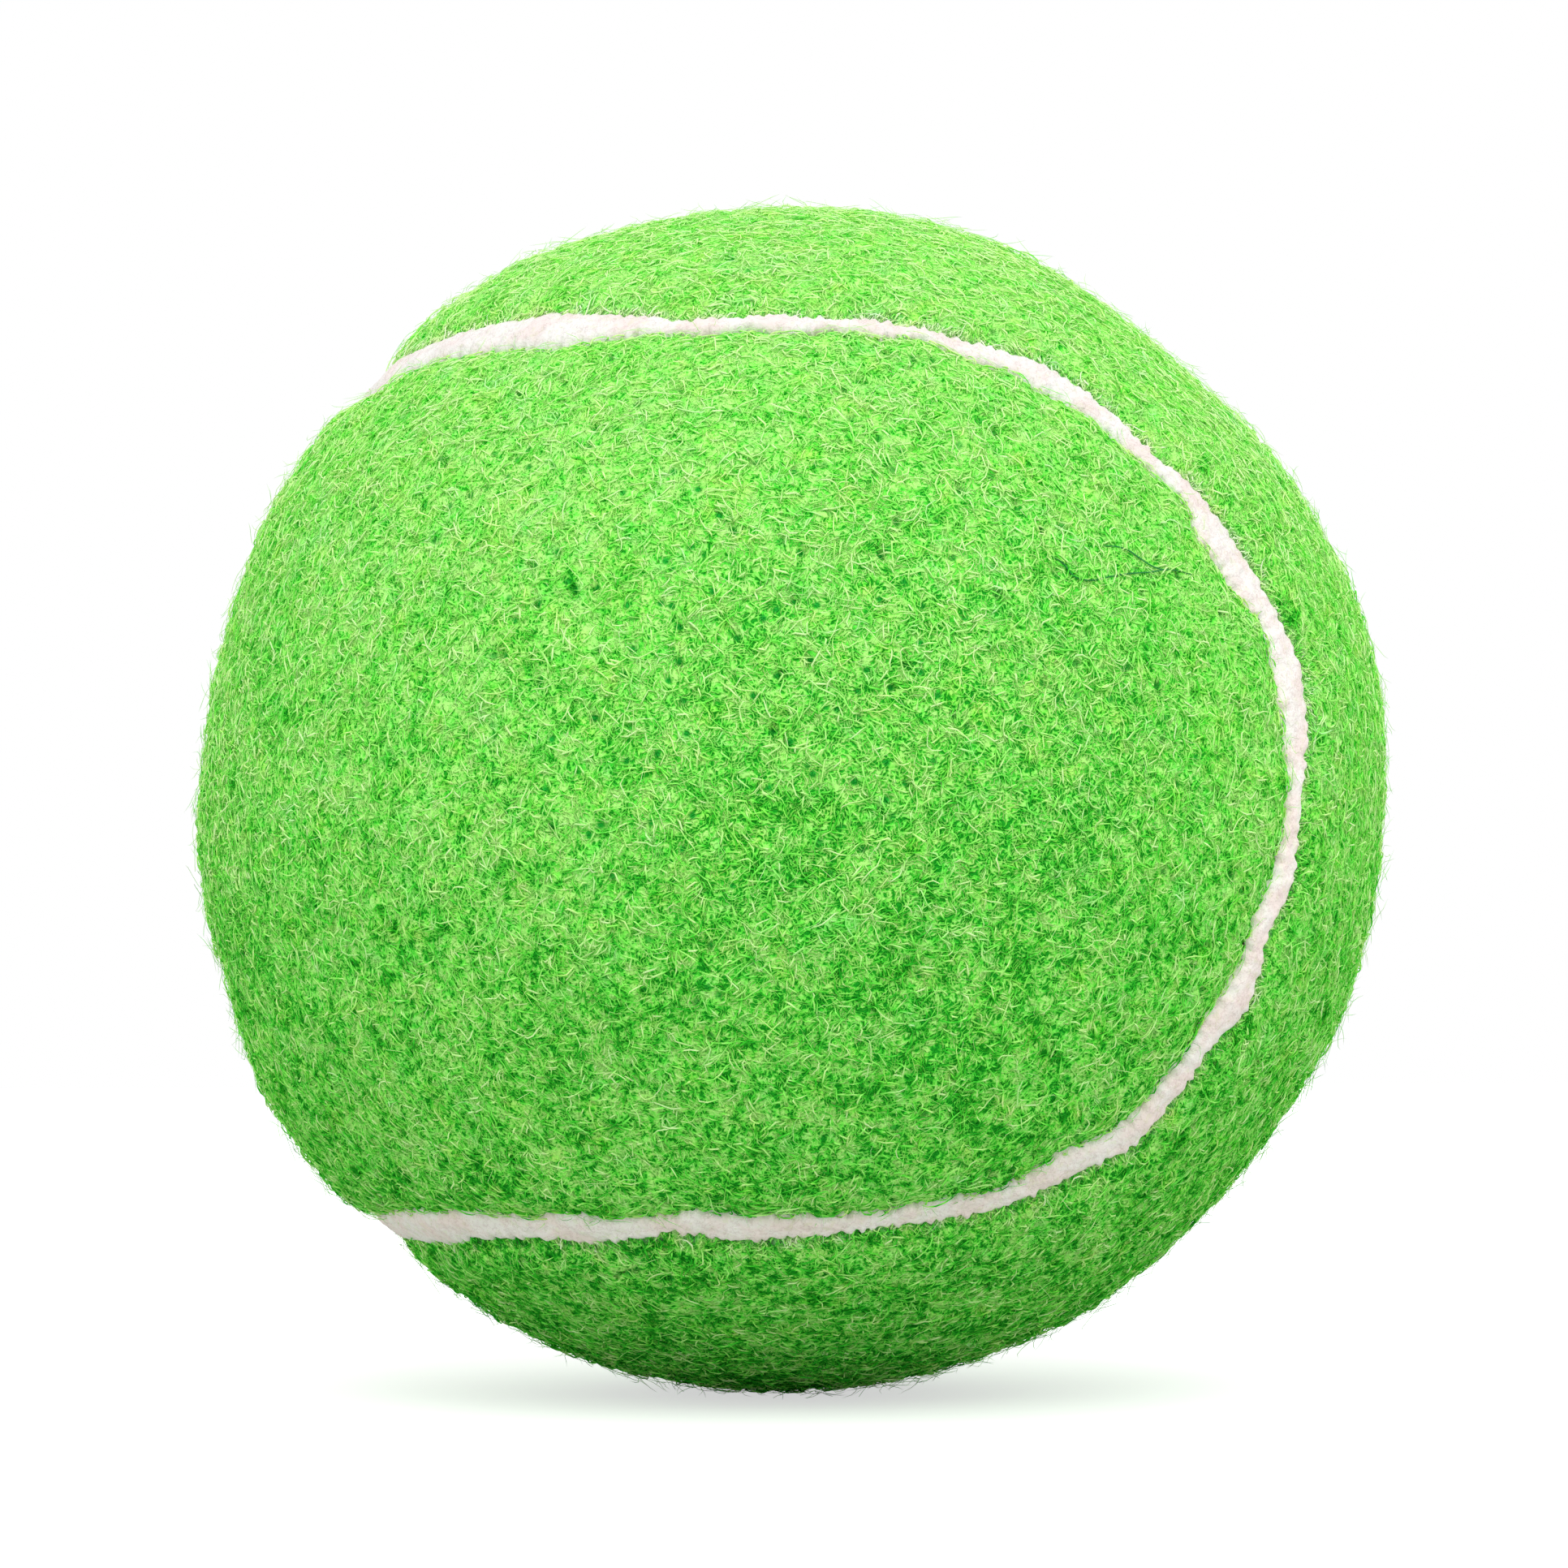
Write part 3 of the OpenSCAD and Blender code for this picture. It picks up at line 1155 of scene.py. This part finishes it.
    def _ground(self) -> Piece:
        """Builds the panel's body: its face, its cut edge and its back.

        Returns:
            The piece.
        """
        points, faces, rim = self._grid(self.steps)
        distance, towards = self._to_edge(points, rim)
        face = points * self._crown(points, distance)[:, None]
        back, back_faces, back_rim = self._grid(self.back_steps)
        offset = len(points)
        back_faces = [[offset + n for n in face[::-1]] for face in back_faces]
        back_rim = back_rim + offset
        wall = np.stack([np.roll(rim, -1), rim, back_rim, np.roll(back_rim, -1)], axis=1).tolist()
        edges = {(f[i], f[(i + 1) % len(f)]) for f in faces for i in range(len(f))}
        if tuple(wall[0][:2]) in edges:
            wall = [w[::-1] for w in wall]
        points = np.concatenate([face, back * self.back_radius])
        ground = new_piece(f"felt_{self.side.word}", points, faces + back_faces + wall, self.felt)
        pile = np.ones(offset)
        pile[rim] = 0.0
        pile, distance, towards = (
            np.concatenate([part, np.zeros((len(back), *part.shape[1:]))])
            for part in (pile, distance, towards))
        # Cement is smeared over the right panel's edge only
        smear = distance + (0.0 if self.side is Side.RIGHT else 1.0)
        values = {"pile": pile, "edge": distance, "smear": smear, "towards": towards}
        for name, value in values.items():
            add_values(ground.data, name, value)
        return ground

    def _relief(self, ground: Piece) -> None:
        """Raises lumps and tufts and sinks pits.

        Args:
            ground: The panel's body.
        """
        tree = GeometryTree("felt_relief")
        values = {"Lump": self.lump, "Tuft": self.tuft, "Pit depth": self.pit_depth}
        lump, tuft, pit_depth = (tree.named_input(name) for name in values)
        dress = tree.named_input("Material", "Material")
        place = tree.position()
        out = place.unit()
        crown = out * self.ball_radius
        pit = self.pits.depth(place)
        lumps = (crown.noise(self.lump_size, 1.0) - 0.5) * 2.0 * lump
        tufts = (crown.noise(self.tuft_size, 1.0) - 0.5) * 2.0 * tuft
        rise = (lumps + tufts - pit * pit_depth) * tree.attribute("pile")
        moved = tree.node("GeometryNodeSetPosition", None, {
            "Geometry": tree.geometry, "Offset": out * rise})
        tree.finish(tree.store(moved, {"pit": pit}), dress)
        tree.apply(ground, {**values, "Material": self.felt})

    def _nap(self, ground: Piece, layer: NapLayer) -> Piece:
        """Lays one layer of fibres on the panel.

        Args:
            ground: The panel's body.
            layer: The layer.

        Returns:
            The piece.
        """
        piece = ground.copy()
        piece.data = ground.data.copy()
        piece.name = f"nap_{self.side.word}_{layer.name}"
        bpy.context.scene.collection.objects.link(piece)
        area = min(self._area(ground), self._edge_length() * (layer.band - layer.foot))
        NapTree(self.pits, self.mottle, self.ball_radius).lay(piece, layer, {
            "Seed": layer.seed * 10 + self.side.sign,
            "Density": layer.fibres / area,
            "Gold": self.gold * (self.side is Side.LEFT),
            "Material": self.fibres,
        })
        return piece

    def _edge_length(self) -> float:
        """Measures the panel's edge."""
        steps = (np.diff(end, axis=0) for end in self._rung_ends(self.rungs + 1))
        return float(sum(np.linalg.norm(step, axis=1).sum() for step in steps)) * self.ball_radius

    def _area(self, ground: Piece) -> float:
        """Measures the part of the panel that carries nap.

        Args:
            ground: The panel's body.

        Returns:
            The area.
        """
        mesh = ground.data
        pile, sizes, first, corners = (
            read(source, key, kind) for source, key, kind in (
                (mesh.attributes["pile"].data, "value", np.float32),
                (mesh.polygons, "area", np.float32),
                (mesh.polygons, "loop_start", np.int32),
                (mesh.loops, "vertex_index", np.int32)))
        third = corners[first + 2]
        return float(sizes[(pile[corners[first]] > 0.5) | (pile[third] > 0.5)].sum())

    def _flat_size(self) -> tuple[float, float, float]:
        """Finds the size that the felt is cut to, half way through its thickness.

        Returns:
            The width of a lobe, the length from tip to tip, and the area.
        """
        first, second = self._rung_ends(self.rungs + 1)
        across = np.arccos(np.clip((first * second).sum(1), -1.0, 1.0))
        radius = (self.ball_radius - self.pile + self.back_radius) / 2
        round_waist = TURN - math.acos(float(first[0] @ first[-1]))
        ball = self.ball_radius
        share = 0.5 - self.seam.width / (4 * ball) * self._edge_length() / (TURN * ball)
        return float(across.max() * radius), round_waist * radius, share * 4 * math.pi * radius ** 2

    def build(self) -> None:
        """Builds the panel and its nap, which hide the frame's own solid."""
        ground = self._ground()
        self._relief(ground)
        layers = [layer for layer in self.layers if layer.only in (None, self.side)]
        made = [ground] + [self._nap(ground, layer) for layer in layers]
        for piece in made:
            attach(piece, "root")
            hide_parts(f"felt_panel_{self.side.word}")
            report(piece)
        width, length, area = self._flat_size()
        log.info("%s: cut from %.1f by %.1f mm, %.0f mm2",
                 ground.name, width / MM, length / MM, area / MM ** 2)
        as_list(made[1:])


@dataclass
class NapTree:
    """The Geometry Nodes tree that lays curly fibres on a felt panel."""

    pits: PitPattern
    mottle: Mottle
    ball_radius: float
    # How strongly neighbouring fibres lie the same way, and how far that reaches
    flow: float = 5.0
    flow_size: float = 3.0 * MM
    # The share of fibres that a pit has none of, and how far it pushes the others, in holes
    spared: float = 0.85
    push: float = 1.25
    # Where fibres reach their full length, by distance from the panel's edge
    full_length: float = 0.8 * MM
    # How much cement pales the fibres, and the palest that they are without it
    smear: float = 0.22
    palest: float = 0.86
    # Painted shade: how much darker the tips are where they sink into the felt, and how much deeper
    # lower fibres are than higher ones, which also sets how much fibres differ at random
    painted_tip_shade: float = 0.24
    own_and_painted_height_shade: float = 0.25
    tone_share: float = 1.1
    own_hue: float = 0.1
    # The part of the map that the colours use
    map_range: tuple[float, float] = (0.03, 0.95)
    layer_sizes: tuple[str, ...] = (
        "length", "radius", "bend", "lowest", "highest", "arch", "lift", "shade", "band", "foot",
        "fringe")

    def lay(self, piece: Piece, layer: NapLayer, values: dict[str, Any]) -> None:
        """Turns a copy of the panel's body into fibres.

        Args:
            piece: The copy.
            layer: The layer of fibres.
            values: The tree's inputs that the layer doesn't hold, by name.
        """
        self.tree = tree = GeometryTree("felt_nap")
        self.seed = tree.named_input("Seed", "Int")
        self.density = tree.named_input("Density")
        self.points = tree.named_input("Points", "Int")
        self.gold = tree.named_input("Gold")
        self.sizes = {name: tree.named_input(name.capitalize()) for name in self.layer_sizes}
        material = tree.named_input("Material", "Material")
        strands = self._curl(self._strands(self._roots()))
        tree.finish(self._tubes(strands), material)
        own = {name.capitalize(): getattr(layer, name) for name in self.layer_sizes}
        tree.apply(piece, {**values, **own, "Points": layer.points})

    def _random(self, after: int) -> Value:
        """Gives each point a random vector, by a seed after the layer's."""
        return self.tree.node("FunctionNodeRandomValue", {"data_type": "FLOAT_VECTOR"},
                              {"Min": (0.0,) * 3, "Max": (1.0,) * 3, "Seed": self.seed + after})

    def _roots(self) -> Value:
        """Scatters the roots and gives each its frame and its random numbers.

        Returns:
            Points.
        """
        tree = self.tree
        pile, pit, edge = (tree.attribute(name) for name in ("pile", "pit", "edge"))
        fringe = self.sizes["fringe"]
        density = (self.density * (1.0 - pit * self.spared)
                   * edge.math("LESS_THAN", self.sizes["band"])
                   * edge.math("GREATER_THAN", self.sizes["foot"] - 1e-6))
        points = tree.node(
            "GeometryNodeDistributePointsOnFaces", {"distribute_method": "RANDOM"}, {
                "Mesh": tree.geometry, "Selection": pile.math("GREATER_THAN", 0.01),
                "Density": density, "Seed": self.seed}, "Points")
        upright = Value(tree, points.socket.node.outputs["Rotation"])
        spin = tree.node("FunctionNodeRandomValue", {"data_type": "FLOAT"},
                         {"Min_001": 0.0, "Max_001": TURN, "Seed": self.seed + 1}, "Value_001")
        turn = tree.node("FunctionNodeAxisAngleToRotation", None,
                         {"Axis": (0.0, 0.0, 1.0), "Angle": spin})
        rotation = tree.node("FunctionNodeRotateRotation", {"rotation_space": "LOCAL"},
                             {"Rotation": upright, "Rotate By": turn})
        along, out = (
            tree.node("FunctionNodeRotateVector", None, {"Vector": axis, "Rotation": rotation})
            for axis in ((1.0, 0.0, 0.0), (0.0, 0.0, 1.0)))
        flow = tree.position().noise(self.flow_size, 1.0, 0.5, "Color") - (0.5, 0.5, 0.5)
        along = along + flow * self.flow + tree.arrow("towards").unit() * (fringe * 2.0)
        out = (out + tree.position().unit() * (fringe * 3.0)).unit()
        across = out.math("CROSS_PRODUCT", along).unit()
        return tree.store(points, {
            "along": across.math("CROSS_PRODUCT", out), "across": across, "out": out,
            "root": tree.position(), "chance": self._random(2), "fate": self._random(3),
        }, "FLOAT_VECTOR")

    def _strands(self, points: Value) -> Value:
        """Puts a straight strand at each root.

        Args:
            points: The roots.

        Returns:
            Real curves.
        """
        tree = self.tree
        line = tree.node("GeometryNodeCurvePrimitiveLine", None,
                         {"Start": (0.0, 0.0, 0.0), "End": (MM, 0.0, 0.0)})
        line = tree.node("GeometryNodeResampleCurve", None, {"Curve": line, "Count": self.points})
        strands = tree.node("GeometryNodeInstanceOnPoints", None, {
            "Points": points, "Instance": line})
        return tree.node("GeometryNodeRealizeInstances", None, {"Geometry": strands})

    def _share(self) -> Value:
        """Reads the place along a fibre, from 0 to 1."""
        return self.tree.node("GeometryNodeSplineParameter", None, None, "Factor")

    def _curl(self, strands: Value) -> Value:
        """Bends each strand and lays it over the felt.

        Args:
            strands: Straight curves.

        Returns:
            Curly ones, with their shade, hue and girth and the place along the fibre.
        """
        tree = self.tree
        sizes = self.sizes
        share = self._share()
        middle = share - 0.5
        chance, fate = tree.arrow("chance"), tree.arrow("fate")
        one, two, three = (chance[axis] for axis in range(3))
        four, five, six = (fate[axis] for axis in range(3))
        edge = tree.attribute("edge")
        # Near the panel's edge most fibres are cut short, and a few stray over the seam
        room = edge / self.full_length + 0.3 + six.smooth(0.86, 0.95) * 0.5
        room = room.math("MAXIMUM", sizes["fringe"]).math("MINIMUM", 1.0)
        length = sizes["length"] * (one * 0.9 + 0.55) * room
        # A bend of nearly nothing would divide by zero
        sense = (two - 0.5).math("SIGN")
        turn = sense * (two - 0.5).math("ABSOLUTE").math("MAXIMUM", 0.04) * 2.0 * sizes["bend"]
        heading = turn * middle
        wave = ((middle + three) * TURN).math("SINE") * (four * 0.09 + 0.01)
        x = heading.math("SINE") / turn * length
        y = ((1.0 - heading.math("COSINE")) / turn + wave) * length
        low = sizes["lowest"] + (sizes["highest"] - sizes["lowest"]) * five
        arch = (0.25 - middle * middle) * 4.0 * sizes["arch"] * (six * 1.6 + 0.2)
        lift = share ** 2.0 * sizes["lift"] * (three ** 3.0) * 2.2
        z = low + arch + lift - (x * x + y * y) / (2 * self.ball_radius)
        # The fibres of a fringe stand on the shoulder and reach over the cement
        x = x + sizes["fringe"] * length * 0.5
        root = tree.arrow("root")
        place = root
        for name, distance in (("along", x), ("across", y), ("out", z)):
            place = place + tree.arrow(name) * distance
        far, strength, away = self.pits.around(place)
        push = (1.0 - far / self.pits.reach).math("MAXIMUM", 0.0) * self.pits.hole * self.push
        place = place + away * (push * strength)
        strands = tree.node("GeometryNodeSetPosition", None, {
            "Geometry": strands, "Position": place})
        # Painted shade: the tips are darker where they sink into the felt
        ends = (middle * 2.0).math("ABSOLUTE") ** 2.0 * self.painted_tip_shade
        # Fibres differ at random, and lower ones are deeper: painted shade by height
        own = (four - 0.5) * self.own_and_painted_height_shade + (five - 0.5) * self.own_and_painted_height_shade
        shade = sizes["shade"] + own + self.mottle.tone(place) * self.tone_share - ends
        soaked = self.mottle.soaked(place, tree.attribute("smear")) * self.smear
        shade = (shade + soaked).math("MINIMUM", soaked * 0.25 + self.palest)
        hue = self.mottle.hue(root) + (six - 0.5) * self.own_hue
        hue = hue + edge.smooth(0.7 * MM, 0.2 * MM) * self.gold
        return tree.store(strands, {
            "shade": shade, "hue": hue, "stretch": share, "girth": five * 0.5 + 0.75})

    def _tubes(self, strands: Value) -> Value:
        """Gives the strands their thickness and their map.

        Args:
            strands: The curves.

        Returns:
            Closed three-sided tubes that taper to both ends.
        """
        tree = self.tree
        ring = tree.node("GeometryNodeCurvePrimitiveCircle", {"mode": "RADIUS"},
                         {"Resolution": 3, "Radius": 1.0})
        ring = tree.store(ring, {"round": tree.node("GeometryNodeInputIndex") / 3.0})
        tip = ((self._share() - 0.5) * 2.0).math("ABSOLUTE")
        taper = (1.0 - tip ** 4.0).math("MAXIMUM", 0.0)
        tubes = tree.node("GeometryNodeCurveToMesh", None, {
            "Curve": strands, "Profile Curve": ring, "Fill Caps": False,
            "Scale": self.sizes["radius"] * taper * tree.attribute("girth")})
        # The rings at the two ends have no width, and close to a point
        tubes = tree.node("GeometryNodeMergeByDistance", None, {
            "Geometry": tubes, "Distance": 1e-7})
        tubes = tree.node("GeometryNodeSetShadeSmooth", None, {"Geometry": tubes})
        # A fibre covers a small cell of the map, because a bake needs an area
        u = tree.attribute("shade").clamp(*self.map_range) + tree.attribute("round") * 0.03
        v = tree.attribute("hue").clamp(*self.map_range) + tree.attribute("stretch") * 0.02
        return tree.store(tubes, {UV_NAME: tree.combine(u, v)}, "FLOAT2", "CORNER")


@dataclass
class SeamCement:
    """The strip of cement between the two panels."""

    seam: SeamLine
    outline: Outline
    ball_radius: float
    core_radius: float
    depth: float = 0.60 * MM
    border: float = 0.45 * MM
    tuck: float = 0.35 * MM
    lump: float = 0.16 * MM
    fold: float = 0.13 * MM
    steps: int = 1800
    across: int = 13

    def build(self, material: Material) -> None:
        """Builds the strip.

        Args:
            material: The cement's material.
        """
        angle = np.linspace(0.0, TURN, self.steps, endpoint=False)
        left = self.seam.edge(angle, -1) - self.tuck
        right = self.seam.edge(angle, 1) + self.tuck
        rows = []
        for share in np.linspace(0.0, 1.0, self.across):
            here = self.seam.beside(angle, left + (right - left) * share)
            depth = self.depth + self.border * abs(2 * share - 1) ** 4
            rows.append(here * (self.ball_radius - depth + self.outline.height(here))[:, None])
        for distance in (right, left):
            rows.append(self.seam.beside(angle, distance) * self.core_radius)
        points = np.stack(rows, axis=1).reshape(-1, 3)
        here = np.arange(len(points)).reshape(self.steps, -1)
        after = np.roll(here, -1, axis=0)
        corners = [here, np.roll(here, -1, axis=1), np.roll(after, -1, axis=1), after]
        faces = np.stack(corners, axis=-1).reshape(-1, 4)
        if faces_in(points, faces[0]):
            faces = faces[:, ::-1]
        piece = new_piece("seam_strip", points, faces.tolist(), material)
        self._wrinkle(piece, material)
        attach(piece, "root")
        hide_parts("seam_cement")
        report(piece)

    def _wrinkle(self, piece: Piece, material: Material) -> None:
        """Gives the strip the folds and lumps of cement that was squeezed out.

        Args:
            piece: The strip.
            material: The cement's material.
        """
        tree = GeometryTree("cement_relief")
        values = {"Lump": self.lump, "Fold": self.fold}
        lump, fold = (tree.named_input(name) for name in values)
        dress = tree.named_input("Material", "Material")
        place = tree.position()
        free = place.math("LENGTH").smooth(self.core_radius, self.core_radius + 1.0 * MM)
        lumps = (place.noise(1.6 * MM, 1.0) - 0.5) * 2.0 * lump
        folds = (place.noise(0.45 * MM, 2.0, 0.6) - 0.5) * 2.0 * fold
        tree.finish(tree.node("GeometryNodeSetPosition", None, {
            "Geometry": tree.geometry, "Offset": place.unit() * ((lumps + folds) * free)}), dress)
        tree.apply(piece, {**values, "Material": material})


@dataclass
class StrayFibre:
    """A dark forked fibre that lies on the front lobe, placed by its pixels in the photo."""

    photograph: Photograph
    ball_radius: float
    radius: float = 0.038 * MM
    height: float = 0.2 * MM
    # How thin it is at the first and last point, in radii
    ends: tuple[float, float] = (0.3, 0.5)
    branches: tuple[tuple[tuple[float, float], ...], ...] = (
        ((1296, 682), (1312, 692), (1326, 708), (1345, 713), (1368, 709), (1392, 705), (1420, 703),
         (1444, 700), (1472, 706)),
        ((1358, 671), (1375, 671), (1391, 675), (1405, 684), (1418, 693), (1432, 699), (1444, 700)))

    def build(self, material: Material) -> None:
        """Builds the fibre.

        Args:
            material: Its material.
        """
        curve = bpy.data.curves.new("stray_fibre", "CURVE")
        curve.dimensions = "3D"
        curve.bevel_depth = self.radius
        curve.bevel_resolution = 1
        curve.use_fill_caps = True
        for branch in self.branches:
            points = curve.splines.new("BEZIER").bezier_points
            points.add(len(branch) - 1)
            for point, pixel in zip(points, branch):
                point.co = self.photograph.on_ball(pixel, self.ball_radius - self.height)
                point.handle_left_type = point.handle_right_type = "AUTO"
            points[0].radius, points[-1].radius = self.ends
        draft = bpy.data.objects.new("stray_draft", curve)
        bpy.context.scene.collection.objects.link(draft)
        graph = bpy.context.evaluated_depsgraph_get()
        mesh = bpy.data.meshes.new_from_object(draft.evaluated_get(graph), depsgraph=graph)
        bpy.data.objects.remove(draft)
        bpy.data.curves.remove(curve)
        piece = show("stray_fibre", mesh, material)
        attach(piece, "root")
        report(piece)


@dataclass
class Inside:
    """The core and the cement coats, which keep the frame's solids."""

    coat: tuple[Triple, Triple, float] = ((0.6, 0.46, 0.25), (0.7, 0.58, 0.4), 0.25 * MM)

    def dress(self) -> None:
        """Gives each solid its material."""
        finishes = {
            "core_half_top": RubberFinish(
                "core_rubber_top", (0.055, 0.052, 0.05), (0.11, 0.105, 0.1), 0.5 * MM),
            "core_half_bottom": RubberFinish(
                "core_rubber_bottom", (0.05, 0.05, 0.05), (0.1, 0.1, 0.1), 0.5 * MM),
            "core_joint_cement": RubberFinish(
                "joint_cement_dressed", (0.35, 0.22, 0.1), (0.5, 0.36, 0.2), 0.3 * MM),
            "backing_cement_left": RubberFinish("backing_left_dressed", *self.coat),
            "backing_cement_right": RubberFinish("backing_right_dressed", *self.coat),
        }
        for name, finish in finishes.items():
            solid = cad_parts[name]
            material = finish.material()
            for slot in solid.material_slots:
                slot.material = material
            report(solid)


def link_at(name: str, data: Any, place: Any, side: Any, up: Any, back: Any) -> Piece:
    """Puts a lamp or a camera in the scene.

    Args:
        name: Its name.
        data: Its data.
        place: Where it hangs.
        side: The unit vector to its right.
        up: The unit vector to its top.
        back: The unit vector away from what it faces.

    Returns:
        The object.
    """
    made = bpy.data.objects.new(name, data)
    turn = Matrix(np.stack([side, up, back], axis=1).tolist()).to_4x4()
    made.matrix_world = Matrix.Translation(list(place)) @ turn
    bpy.context.scene.collection.objects.link(made)
    return made


@dataclass
class Studio:
    """The floor, the light and the camera."""

    photograph: Photograph
    ball_radius: float
    floor_size: float = 6.0
    floor_white: float = 0.6
    lamp_place: Triple = (-0.06, -0.68, 0.78)
    lamp_size: float = 0.9
    lamp_watts: float = 5.4
    sensor_mm: float = 36.0
    white: Triple = (1.0, 1.0, 1.0)

    def build(self) -> None:
        """Builds the floor, the lamp, the world and the camera."""
        self._floor()
        self._lamp()
        self._world()
        self._camera()

    def _floor(self) -> None:
        """Builds a plain floor that shows white and keeps the shadow."""
        shader = Shader("floor_white")
        diffuse = shader.node("ShaderNodeBsdfDiffuse", None, {"Color": (self.floor_white,) * 3})
        glow = {"Color": self.white, "Strength": self.floor_white}
        both = {0: diffuse, 1: shader.node("ShaderNodeEmission", None, glow)}
        seen = shader.node("ShaderNodeLightPath", None, None, "Is Camera Ray")
        surface = shader.node("ShaderNodeMixShader", None, {
            0: seen, 1: diffuse, 2: shader.node("ShaderNodeAddShader", None, both)})
        shader.node("ShaderNodeOutputMaterial", None, {"Surface": surface})
        half = self.floor_size / 2
        corners = np.array([(x * half, y * half, -self.ball_radius)
                            for x, y in ((-1, -1), (1, -1), (1, 1), (-1, 1))])
        new_piece("floor", corners, [[0, 1, 2, 3]], shader.material)

    def _lamp(self) -> None:
        """Hangs a square lamp that faces the ball."""
        light = bpy.data.lights.new("lamp_above", "AREA")
        light.size = self.lamp_size
        light.energy = self.lamp_watts
        back = np.array(self.lamp_place) / np.linalg.norm(self.lamp_place)
        side = np.cross((0.0, 1.0, 0.0), back)
        side /= np.linalg.norm(side)
        link_at("lamp_above", light, self.lamp_place, side, np.cross(back, side), back)

    def _world(self) -> None:
        """Lights the ball evenly from a white world."""
        world = bpy.data.worlds.new("studio")
        world.use_nodes = True
        world.node_tree.nodes.clear()
        tree = Tree(world.node_tree)
        glow = tree.node("ShaderNodeBackground", None, {"Color": self.white, "Strength": 1.0})
        tree.node("ShaderNodeOutputWorld", None, {"Surface": glow})
        bpy.context.scene.world = world

    def _camera(self) -> None:
        """Sets the camera where the photograph was taken from."""
        photo = self.photograph
        right, forwards, up = photo.axes()
        data = bpy.data.cameras.new("camera")
        data.sensor_width = self.sensor_mm
        data.lens = data.sensor_width * photo.focal_px() / photo.frame_px
        data.shift_x = (photo.frame_px / 2 - photo.centre_x_px) / photo.frame_px
        data.shift_y = (photo.centre_y_px - photo.frame_px / 2) / photo.frame_px
        data.clip_start = 10.0 * MM
        place = -forwards * photo.distance_radii * self.ball_radius
        bpy.context.scene.camera = link_at("camera", data, place, right, up, -forwards)


def main() -> None:
    """Builds the ball piece by piece, and the studio round it."""
    logging.basicConfig(level=logging.INFO, format="%(message)s")
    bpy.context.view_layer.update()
    ball_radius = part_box("felt_panel_left")[1][1]
    back_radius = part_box("backing_cement_left")[1][1]
    core_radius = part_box("core_half_top")[1][2]
    photograph = Photograph()
    seam = SeamLine(ball_radius)
    outline = Outline(photograph)
    pits = PitPattern(ball_radius, tuple(photograph.on_ball((880, 830), ball_radius)))
    # Dark clumps, and painted shade under the bottom seam
    darker = ((1592, 746), (1598, 760), (1530, 1268), (715, 1565), (800, 1590), (900, 1630),
              (1010, 1600))
    clumps_and_painted_shade = tuple(tuple(photograph.on_ball(pixel, ball_radius)) for pixel in darker)
    mottle = Mottle(clumps_and_painted_shade=clumps_and_painted_shade)
    felt = FeltFinish(pits, mottle).material()
    fibres = NapFinish(mottle).material()
    Inside().dress()
    SeamCement(seam, outline, ball_radius, core_radius).build(SeamFinish().material())
    for side in Side:
        FeltPanel(side, seam, outline, pits, mottle, felt, fibres, ball_radius, back_radius).build()
    dark = RubberFinish("stray_fibre_dark", (0.015, 0.22, 0.05), (0.03, 0.30, 0.07), 0.2 * MM, 0.8)
    StrayFibre(photograph, ball_radius).build(dark.material())
    Studio(photograph, ball_radius).build()
    bpy.context.scene.view_settings.view_transform = "Standard"


if __name__ == "__main__":
    main()
